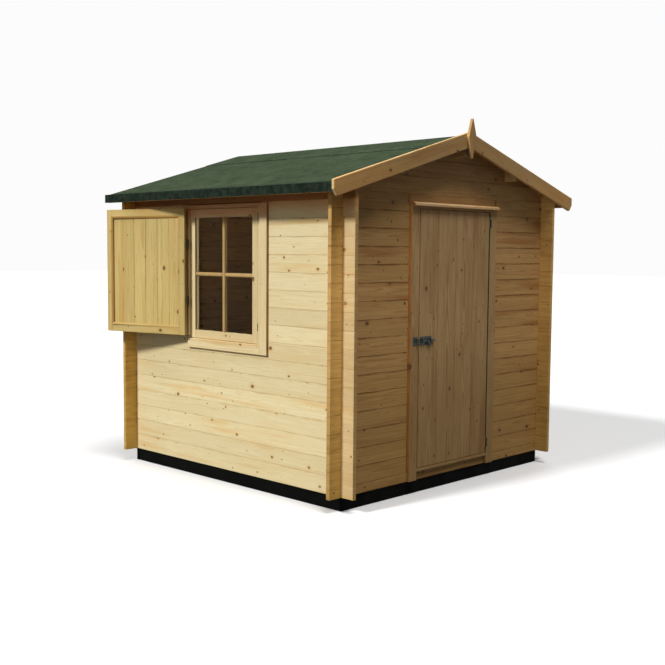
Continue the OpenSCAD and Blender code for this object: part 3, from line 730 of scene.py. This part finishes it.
# ---- Door frame and drip strip ----
# A rebated pine frame whose jambs clasp the ends of the logs, with a sloping
# strip over the head that throws the rain clear.
door_pine = pine(
    "door pine",
    early=(199, 163, 114),
    late=(161, 123, 77),
    warm=(152, 105, 65),
    knot=(80, 48, 30),
    end=(216, 158, 90),
    figure=1.35,
    seam=0.84,
    tints=((1.4, 0.45, (0.7, 0.68, 0.58)),),
)
timbers(
    ["door_frame"],
    "door_jambs_head_sill",
    door_pine,
    "cabin",
    0.002,
    # The jambs' outer side faces take the bright end colour in full: painted light.
    lambda centre: 1.25 if abs(centre.x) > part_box("drip_strip")[1].x - 0.001 else 0.0,
)
timbers(["drip_strip"], "rain_strip", sunlit_side_pine, "cabin", 0.002)


# ---- Door leaf ----
# Upright tongued boards nailed to ledges and braces on the inside.
door_low, door_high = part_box("door_boards")
door_count = 4
door_board = (door_high.x - door_low.x) / door_count


def door_leaf():
    leaf = copy_of(["door_boards"])
    for i in range(1, door_count):
        cut_at(leaf, (door_low.x + i * door_board, 0, 0), (1, 0, 0))
    lay_grain(
        leaf,
        random.Random("door"),
        lambda centre: math.floor((centre.x - door_low.x) / door_board),
    )
    set_out(leaf, "door_leaf_boards", door_pine, "door", ["door_boards"])


door_leaf()
timbers(["door_ledges"], "door_ledges_braces", carcass_pine, "door")


def door_nails():
    """Two nails through each board into each ledge."""
    low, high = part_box("door_ledges")
    ledge_w = 0.095
    aside, above = 0.055, 0.02
    spots = []
    for z in (low.z + ledge_w / 2, (low.z + high.z) / 2, high.z - ledge_w / 2):
        for i in range(door_count):
            for side in (-1, 1):
                x = door_low.x + (i + 0.5) * door_board + side * aside
                spots.append((Vector((x, door_low.y, z + side * above)), Vector((0, -1, 0))))
    heads("door_nails", spots, 0.0034, 0.0008, clout, "door")


door_nails()


# ---- Door hinge-side strip ----
# A thin dark green strip along the hinge side of the leaf, broken where the hinges are let in:
# painted shade standing for the shadow in the gap between leaf and jamb.
def painted_gap_shade():
    material, surface, start = fresh_material("painted gap shade", 0.75)
    surface.inputs["Specular IOR Level"].default_value = 0.1
    where = start.node("ShaderNodeTexCoord", {}, {}, "Object")
    patches = start.cloud(where, 14.0, 4.0)
    colour = start.blend(patches, (*shade(8, 28, 9), 1), (*shade(22, 50, 20), 1))
    feed(surface, Base_Color=colour)
    return material


def stick(low, high):
    """A square-edged stick between two corners."""
    made = bmesh.new()
    bmesh.ops.create_cube(
        made,
        size=1.0,
        matrix=Matrix.Translation((Vector(low) + Vector(high)) / 2)
        @ Matrix.Diagonal((*(Vector(high) - Vector(low)), 1.0)),
    )
    return made


def door_gap_shade_strip():
    low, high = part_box("door_hinge_leaves")
    tall = 0.06
    gap = 0.003
    lap = 0.009
    proud = 0.0008
    far_x = door_high.x + 0.0022
    lengths = []
    for z0, z1 in (
        (door_low.z + 0.002, low.z - gap),
        (low.z + tall + gap, high.z - tall - gap),
        (high.z + gap, door_high.z - 0.002),
    ):
        lengths.append(
            stick(
                (door_high.x - 0.001, door_low.y + 0.0002, z0),
                (far_x, door_high.y, z1),
            )
        )
        lengths.append(
            stick(
                (door_high.x - lap, door_low.y - proud, z0),
                (far_x, door_low.y + 0.0001, z1),
            )
        )
    shade_strip = join(lengths)
    ease_arrises(shade_strip, 0.0006, 2)
    set_out(shade_strip, "door_gap_shade_strip", painted_gap_shade(), "door")


door_gap_shade_strip()


# ---- Ironmongery ----
# Black painted steel: butt hinges on the door, strap hinges on the shutter and
# a barrel bolt with its keep.
def black_iron():
    material, surface, start = fresh_material("black painted steel", 0.42, 0.1)
    surface.inputs["Specular IOR Level"].default_value = 0.35
    where = start.node("ShaderNodeTexCoord", {}, {}, "Object")
    patches = start.cloud(where, 45.0, 4.0)
    colour = start.blend(
        patches.ease(0.35, 0.75), (*shade(9, 17, 10), 1), (*shade(40, 54, 42), 1)
    )
    feed(surface, Base_Color=colour, Roughness=patches.ease(0.3, 0.7, 0.34, 0.55))
    rough_up(surface, start.cloud(where, 600.0), 0.15, 0.0003)
    return material


iron = black_iron()


def ironwork(node, body, arris=0.0006):
    piece = copy_of([node])
    ease_arrises(piece, arris, 2, 50)
    set_out(piece, node + "_steel", iron, body, [node])


for node, body in (
    ("door_hinge_plates", "cabin"),
    ("door_hinge_leaves", "door"),
    ("bolt_plate", "door"),
    ("bolt_rod", "bolt"),
    ("bolt_keep", "cabin"),
    ("shutter_hinge_plates", "cabin"),
    ("shutter_hinge_leaves", "shutter"),
):
    ironwork(node, body)


def screws():
    """Slotted screws in the corners of the bolt's plate and of its keep."""
    out = Vector((0, -1, 0))
    for node, body in (("bolt_plate", "door"), ("bolt_keep", "cabin")):
        low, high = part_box(node)
        face_y = door_low.y - 0.002
        spots = []
        for x in (low.x + 0.007, high.x - 0.007):
            for z in (low.z + 0.0075, high.z - 0.0075):
                spots.append((Vector((x, face_y, z)), out))
        heads(node + "_screws", spots, 0.0036, 0.0009, clout, body, True)


screws()


# ---- Window casing, trim and sash ----
# A pine casing in the logs holds a fixed sash; flat trim frames the bed that
# the shutter closes into.
# Its tint high up is painted shade, redder, under the eave; its dark end colour is end grain and
# painted shade on the trim's outer side face.
window_pine = pine(
    "window pine",
    early=(232, 212, 164),
    late=(214, 184, 128),
    warm=(216, 180, 120),
    knot=(132, 88, 44),
    end=(122, 80, 42),
    figure=0.7,
    seam=0.95,
    tints=((1.81, 1.87, (0.92, 0.64, 0.56)),),
)
timbers(["window_casing"], "window_casing_boards", window_pine, "cabin")
timbers(
    ["window_trim"],
    "window_trim_boards",
    window_pine,
    "cabin",
    0.0015,
    # The trim's outer side face towards the door takes the dark end colour: painted shade.
    lambda centre: float(centre.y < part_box("window_trim")[0].y + 0.001),
)
timbers(["window_sash"], "window_sash_frame", window_pine, "cabin", 0.002)


def sash_furniture():
    """Two small barrels of steel where the sash is fixed, and pins in the trim boards."""
    low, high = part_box("window_sash")
    barrels = []
    for z in (low.z + 0.11, high.z - 0.06):
        barrel = bmesh.new()
        bmesh.ops.create_cone(
            barrel, cap_ends=True, segments=12, radius1=0.0036, radius2=0.0036, depth=0.05
        )
        barrel.transform(Matrix.Translation((low.x - 0.001, low.y - 0.002, z)))
        barrels.append(barrel)
    whole = join(barrels)
    ease_arrises(whole, 0.0008, 2, 60)
    set_out(whole, "sash_barrels", iron, "cabin")
    low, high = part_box("window_trim")
    out = Vector((-1, 0, 0))
    spots = []
    for y in (low.y + 0.036, high.y - 0.036):
        for i in range(5):
            z = low.z + 0.03 + i * (high.z - low.z - 0.06) / 4
            spots.append((Vector((low.x, y, z)), out))
    heads("trim_pins", spots, 0.002, 0.0006, clout, "cabin")


sash_furniture()


# ---- Glazing bars and panes ----
# One upright bar and two level ones, each moulded on both faces, hold four
# panes of clear glass.
bar_w = 0.027
bar_t = 0.028
sight = 0.008
pane_low, pane_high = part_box("window_glass")
pane_middle = (pane_low + pane_high) / 2
# A darker, more golden copy of the window pine for the recessed bars: painted shade. Its tint high up
# is painted shade, redder, under the eave.
shaded_bar_pine = pine(
    "glazing bar pine",
    early=(206, 174, 116),
    late=(184, 146, 88),
    warm=(186, 140, 76),
    knot=(116, 76, 34),
    end=(190, 146, 78),
    figure=0.7,
    seam=0.9,
    tints=((1.78, 1.84, (0.92, 0.66, 0.58)),),
)


def glazing_bars():
    x0, x1 = pane_middle.x - bar_t / 2, pane_middle.x + bar_t / 2
    y0, y1 = pane_middle.y - bar_w / 2, pane_middle.y + bar_w / 2
    z0, z1 = pane_middle.z - bar_w / 2, pane_middle.z + bar_w / 2
    low_y, high_y = pane_low.y + sight, pane_high.y - sight
    low_z, high_z = pane_low.z + sight, pane_high.z - sight
    bars = join(
        [
            stick((x0, y0, low_z), (x1, y1, high_z)),
            stick((x0, low_y, z0), (x1, y0 - 0.0003, z1)),
            stick((x0, y1 + 0.0003, z0), (x1, high_y, z1)),
        ]
    )
    ease_arrises(bars, 0.009, 3)
    lay_grain(bars, random.Random("bars"))
    set_out(bars, "glazing_bars", shaded_bar_pine, "cabin")


glazing_bars()


def clear_glass():
    material, surface, _ = fresh_material("clear glass", 0.02)
    surface.inputs["Base Color"].default_value = (0.96, 0.97, 0.96, 1)
    surface.inputs["Transmission Weight"].default_value = 1.0
    surface.inputs["IOR"].default_value = 1.08
    return material


def panes():
    bite = 0.004
    sheets = []
    for y0, y1 in (
        (pane_low.y, pane_middle.y - bar_w / 2 + bite),
        (pane_middle.y + bar_w / 2 - bite, pane_high.y),
    ):
        for z0, z1 in (
            (pane_low.z, pane_middle.z - bar_w / 2 + bite),
            (pane_middle.z + bar_w / 2 - bite, pane_high.z),
        ):
            sheets.append(stick((pane_low.x, y0, z0), (pane_high.x, y1, z1)))
    set_out(join(sheets), "window_panes", clear_glass(), "cabin", ["window_glass"])


panes()


# ---- Shutter ----
# A mortised pine frame with upright tongued boards held in a groove, hung on
# strap hinges beside the window.
shutter_pine = pine(
    "shutter pine",
    early=(210, 187, 122),
    late=(188, 154, 87),
    warm=(194, 151, 77),
    knot=(116, 76, 34),
    end=(166, 116, 52),
    figure=0.9,
    seam=0.85,
)
timbers(["shutter_frame"], "shutter_stiles_rails", shutter_pine, "shutter")
shutter_pin = Vector(next(j for j in frame["joints"] if j["name"] == "shutter_hinge")["pos_m"])
shutter_count = 6


def shutter_panel():
    """The boards of the panel, scored where they meet."""
    panel = copy_of(["shutter_boards"])
    points = [vert.co.copy() for vert in panel.verts]
    pin = shutter_pin
    far = max(points, key=lambda p: (p - pin).xy.length)
    out = Vector(((far - pin).x, (far - pin).y, 0)).normalized()
    reach = [(p - pin).dot(out) for p in points]
    low, step = min(reach), (max(reach) - min(reach)) / shutter_count
    for i in range(1, shutter_count):
        cut_at(panel, pin + out * (low + i * step), out)
    lay_grain(
        panel,
        random.Random("shutter"),
        lambda centre: math.floor(((centre - pin).dot(out) - low) / step),
    )
    set_out(panel, "shutter_panel", shutter_pine, "shutter", ["shutter_boards"])


shutter_panel()


def shutter_bead():
    """A rounded bead mitred round the panel where it lies back from the frame."""
    pin = shutter_pin
    slopes = ((0.006, 0.06), (0.005, 0.24), (0.004, 0.34), (0.001, 0.36))
    points = {}
    for node in ("shutter_frame", "shutter_boards"):
        made = copy_of([node])
        points[node] = [vert.co - pin for vert in made.verts]
        made.free()
    far = max(points["shutter_boards"], key=lambda p: p.xy.length)
    near = min(points["shutter_boards"], key=lambda p: p.xy.length)
    run = Vector(((far - near).x, (far - near).y, 0)).normalized()
    out = Vector((0, 0, 1)).cross(run)
    if out.x > 0:
        out = -out
    reach = [p.dot(run) for p in points["shutter_frame"]]
    front = max(p.dot(out) for p in points["shutter_frame"])
    panel = max(p.dot(out) for p in points["shutter_boards"])
    low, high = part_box("shutter_frame")
    stile_w, rail_h = 0.046, 0.05
    wide = max(reach) - min(reach) - 2 * stile_w
    tall = high.z - low.z - 2 * rail_h
    middle = pin + run * (min(reach) + max(reach)) / 2 + out * panel
    middle.z = (low.z + high.z) / 2
    rim = 0.9 * (front - panel)
    bead = bmesh.new()
    bmesh.ops.create_grid(
        bead,
        x_segments=1,
        y_segments=1,
        size=0.5,
        matrix=Matrix.Translation((0, 0, rim)) @ Matrix.Diagonal((wide, tall, 1, 1)),
    )
    for across, drop in slopes:
        field = [face for face in bead.faces if face.calc_area() > 0.5 * wide * tall]
        bmesh.ops.inset_region(
            bead,
            faces=field,
            thickness=across,
            depth=-drop * rim,
            use_boundary=True,
            use_even_offset=True,
        )
    field = [face for face in bead.faces if face.calc_area() > 0.5 * wide * tall]
    bmesh.ops.delete(bead, geom=field, context="FACES_ONLY")
    rim_edges = [
        edge for edge in bead.edges if edge.is_boundary and edge.verts[0].co.z > 0.99 * rim
    ]
    walls = bmesh.ops.extrude_edge_only(bead, edges=rim_edges)["geom"]
    for vert in walls:
        if isinstance(vert, bmesh.types.BMVert):
            vert.co.z = 0.0
    bmesh.ops.bridge_loops(bead, edges=[edge for edge in bead.edges if edge.is_boundary])
    place = Matrix((run, (0, 0, 1), out)).transposed().to_4x4()
    bead.transform(Matrix.Translation(middle) @ place)
    bmesh.ops.recalc_face_normals(bead, faces=bead.faces)
    # The operators leave no fixed order, and the grain of each side is drawn in that order
    line = run * 7.1 + Vector((0, 0, 3.3)) + out * 1.7
    bead.verts.sort(key=lambda vert: vert.co.dot(line))
    bead.faces.sort(key=lambda face: face.calc_center_median().dot(line))

    def side(centre):
        across = (centre - middle).dot(run) / wide
        rise = (centre.z - middle.z) / tall
        if abs(across) > abs(rise):
            return "far stile" if across > 0 else "near stile"
        return "head" if rise > 0 else "foot"

    lay_grain(
        bead,
        random.Random("bead"),
        side,
        # The beads along the far stile and the head take the darker end colour: painted shade along
        # the panel's edge.
        lambda centre: 1.0 if side(centre) in ("far stile", "head") else 0.2,
    )
    set_out(bead, "shutter_bead", shutter_pine, "shutter")


shutter_bead()


# ---- Ground, light and camera ----
# A plain pale floor and backdrop, and four soft suns: a high one from the window
# side, a low one beside it, one from the door and one from behind.
def pale_floor():
    material, surface, start = fresh_material("pale floor", 0.9)
    path = start.node("ShaderNodeLightPath", {}, {}, "Is Camera Ray")
    seen = start.maths("MAXIMUM", path, path.also("Is Glossy Ray"))
    seen = start.maths("MAXIMUM", seen, path.also("Is Transmission Ray"))
    colour = start.blend(seen, (0.045, 0.045, 0.042, 1), (0.75, 0.75, 0.75, 1))
    feed(surface, Base_Color=colour)
    surface.inputs["Specular IOR Level"].default_value = 0.0
    return material


ground = bmesh.new()
bmesh.ops.create_grid(ground, x_segments=1, y_segments=1, size=60.0)
data = bpy.data.meshes.new("floor")
ground.to_mesh(data)
ground.free()
data.materials.append(pale_floor())
floor = bpy.data.objects.new("studio_floor", data)
bpy.context.scene.collection.objects.link(floor)

world = bpy.data.worlds.new("studio")
world.use_nodes = True
bpy.context.scene.world = world
sky = Tone(world.node_tree, None)
background = world.node_tree.nodes["Background"]
unseen, shown = 0.065, 0.91
path = sky.node("ShaderNodeLightPath", {}, {}, "Is Camera Ray")
seen = sky.maths("MAXIMUM", path, path.also("Is Glossy Ray"))
seen = sky.maths("MAXIMUM", seen, path.also("Is Transmission Ray"))
strength = seen * shown + unseen
world.node_tree.links.new(strength.socket, background.inputs["Strength"])
background.inputs["Color"].default_value = (1, 1, 1, 1)

for name, energy, spread, towards in (
    ("key_lamp", 3.0, 9, (-1.0, 0.12, 0.82)),
    ("side_lamp", 0.28, 30, (-1.0, -0.25, 0.2)),
    ("front_lamp", 2.35, 24, (-0.1, -0.36, 1.0)),
    ("rear_lamp", 1.3, 50, (0.8, 0.6, 0.5)),
):
    lamp_data = bpy.data.lights.new(name, "SUN")
    lamp_data.energy = energy
    lamp_data.angle = math.radians(spread)
    lamp = bpy.data.objects.new(name, lamp_data)
    lamp.rotation_euler = Vector(towards).to_track_quat("Z", "Y").to_euler()
    bpy.context.scene.collection.objects.link(lamp)

lens = bpy.data.cameras.new("camera")
lens.sensor_width = 36.0
lens.lens = 54.0676692
lens.clip_end = 200.0
camera = bpy.data.objects.new("camera", lens)
yaw, pitch, roll = 0.798, 0.081, 0.008
stand = (-5.442, -5.252, 1.596)
ahead = Vector(
    (math.sin(yaw) * math.cos(pitch), math.cos(yaw) * math.cos(pitch), -math.sin(pitch))
)
right = Vector((math.cos(yaw), -math.sin(yaw), 0))
up = right.cross(ahead)
turned_right = right * math.cos(roll) + up * math.sin(roll)
turned_up = up * math.cos(roll) - right * math.sin(roll)
camera.matrix_world = Matrix.Translation(stand) @ Matrix(
    (turned_right, turned_up, -ahead)
).transposed().to_4x4()
bpy.context.scene.collection.objects.link(camera)
bpy.context.scene.camera = camera

bpy.context.scene.view_settings.view_transform = "Standard"
